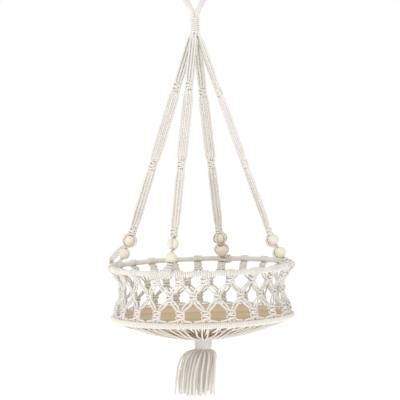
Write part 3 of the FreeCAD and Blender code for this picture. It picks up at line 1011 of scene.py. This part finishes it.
def turned_bead():
    """A bead about Z: a ball with a bore through it and rounded rims."""
    bpy.ops.object.select_all(action="DESELECT")
    bpy.ops.mesh.primitive_uv_sphere_add(
        segments=40, ring_count=BEAD_RINGS, radius=BEAD_RADIUS * MM, location=(0, 0, 0)
    )
    bead = start_mesh("bead")
    select_faces(bead, lambda middle: middle.xy.length < (BEAD_BORE - 0.3) * MM)
    bpy.ops.mesh.delete(type="FACE")
    rim_height = math.sqrt(BEAD_RADIUS**2 - BEAD_BORE**2) * MM
    select_edges(bead, lambda end: abs(end.z) > rim_height * 0.995)
    bpy.ops.mesh.bridge_edge_loops()
    select_edges(bead, lambda end: abs(end.z) > rim_height * 0.995)
    bpy.ops.mesh.bevel(offset=BEAD_RIM * MM, segments=3, affect="EDGES")
    bpy.ops.mesh.select_all(action="SELECT")
    bpy.ops.mesh.normals_make_consistent(inside=False)
    bpy.ops.object.mode_set(mode="OBJECT")
    bpy.ops.object.shade_smooth_by_angle(angle=math.radians(50))
    return bead


def add_beads(hangers, finish):
    """Copies of one bead, each on its hanger's axis, with its own stretch of grain."""
    pattern = turned_bead()
    shape = np.array([vertex.co for vertex in pattern.data.vertices])
    for hanger in hangers:
        for number, part in enumerate(("upper", "lower")):
            name = f"{hanger.name}_{part}_bead"
            axis = unit(bead_axis(hanger, number))
            mesh = pattern.data.copy()
            bead = bpy.data.objects.new(name + "_turned", mesh)
            bpy.context.scene.collection.objects.link(bead)
            turn = Vector((0, 0, 1)).rotation_difference(Vector(axis)).to_matrix().to_4x4()
            mesh.transform(Matrix.Translation(Vector(hanger.beads[number] * MM)) @ turn)
            offset = [chance.uniform(0, 90) for _ in range(3)]
            set_attribute(bead, "grain", "FLOAT_VECTOR", "vector", shape / MM + offset)
            mesh.materials.append(finish)
            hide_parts(name)
            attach(bead, name)
    bpy.data.objects.remove(pattern)


def bead_axis(hanger, number):
    """The joint's own axis, so that a bead turns about its bore."""
    name = f"{hanger.name}_{('upper', 'lower')[number]}_bead_spin"
    return next(joint["axis"] for joint in frame["joints"] if joint["name"] == name)


STRIP_WIDE = 43
STRIP_EDGE = 0.7


def add_board(finish):
    """Pine strips side by side, sawn round and eased at every edge."""
    low, high = corners("round_board")
    radius = high[0]
    count = math.ceil(2 * radius / STRIP_WIDE)
    strips = []
    for number in range(count):
        near = -count * STRIP_WIDE / 2 + number * STRIP_WIDE
        bpy.ops.object.select_all(action="DESELECT")
        bpy.ops.mesh.primitive_cylinder_add(
            vertices=160,
            radius=radius * MM,
            depth=(high[2] - low[2]) * MM,
            location=(0, 0, 0),
        )
        strip = start_mesh("strip")
        for edge, way in ((near, -1), (near + STRIP_WIDE, 1)):
            bpy.ops.mesh.select_all(action="SELECT")
            bpy.ops.mesh.bisect(
                plane_co=(0, edge * MM, 0), plane_no=(0, way, 0), use_fill=True, clear_outer=True
            )
        bpy.ops.object.mode_set(mode="OBJECT")
        eased = strip.modifiers.new("eased", "BEVEL")
        eased.width = STRIP_EDGE * MM
        eased.segments = 2
        eased.limit_method = "ANGLE"
        eased.angle_limit = math.radians(40)
        bpy.ops.object.modifier_apply(modifier="eased")
        offset = (chance.uniform(0, 900), chance.uniform(0, 400), chance.uniform(0, 400))
        grain = np.array([vertex.co for vertex in strip.data.vertices]) / MM + offset
        set_attribute(strip, "grain", "FLOAT_VECTOR", "vector", grain)
        shade = chance.uniform(-1, 1)
        set_attribute(strip, "tone", "FLOAT", "value", np.full(len(grain), shade))
        strips.append(strip)
    bpy.ops.object.select_all(action="DESELECT")
    for strip in strips:
        strip.select_set(True)
    bpy.context.view_layer.objects.active = strips[0]
    bpy.ops.object.join()
    board = strips[0]
    board.name = "pine_board"
    board.data.transform(Matrix.Translation((0, 0, (low[2] + high[2]) / 2 * MM)))
    bpy.ops.object.shade_smooth_by_angle(angle=math.radians(30))
    board.data.materials.clear()
    board.data.materials.append(finish)
    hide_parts("round_board")
    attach(board, "board")


# ---------------------------------------------------------------- the whole planter

add_camera()
add_surroundings()

RAW_COTTON = (0.87, 0.845, 0.81)
# Painted shade: the colour cotton takes in the grooves between its strands and between the turns of a coil.
PAINTED_GROOVE_SHADE = (0.54, 0.495, 0.445)
cord_cotton = cotton("cotton_cord", RAW_COTTON, PAINTED_GROOVE_SHADE, 0.00016)
knot_cotton = cotton("cotton_knot", RAW_COTTON, PAINTED_GROOVE_SHADE, 0.00016)
# Its second colour is painted shade, for the grooves between the wrapping's turns.
wrap_cotton = cotton("cotton_wrapping", (0.875, 0.855, 0.825), (0.58, 0.54, 0.49), 0.00015)

# Each hanger: how far its ribbon is turned, where its two outer cords on each side pass round the
# upper and the lower bead, its tie (turns round its own end, turns round the hoop on each side, and
# how far apart these are), and the cords that go past the lower bead in a band.
HANGERS = [
    Hanger("left", 0, (150, 190, 350, 20), (176, 192, 208, 270), (0, 4, 4.2), (0, 1, 4)),
    Hanger("front", 0, (255, 104, 270, 285), (240, 262, 278, 300), (4, 2, 4.4)),
    Hanger("back", 0, (160, 125, 40, 10), (190, 225, 315, 350), (2, 2, 4.4)),
    Hanger("right", 55, (160, 178, 196, 215), (165, 185, 205, 290), (4, 2, 4.4)),
]

add_tassel(cord_cotton)
add_net(knot_cotton)
for hanger in HANGERS:
    add_hanger(hanger, cord_cotton, knot_cotton)
    add_tie(hanger, cord_cotton)
add_loop(cord_cotton)
add_top_wrap(wrap_cotton)
add_bottom_wrap(wrap_cotton)
add_cradle(cord_cotton)
add_hoop_wrap("upper_hoop_wrap", HOOP_Z, "harness", wrap_cotton)
add_hoop_wrap("lower_hoop_wrap", LOW_Z, "base", wrap_cotton)
add_beads(HANGERS, turned_wood())
add_board(pine())

steel = drawn_steel()
for name in ("upper_hoop_rod", "lower_hoop_rod"):
    frame["nodes"][name].data.materials.clear()
    frame["nodes"][name].data.materials.append(steel)
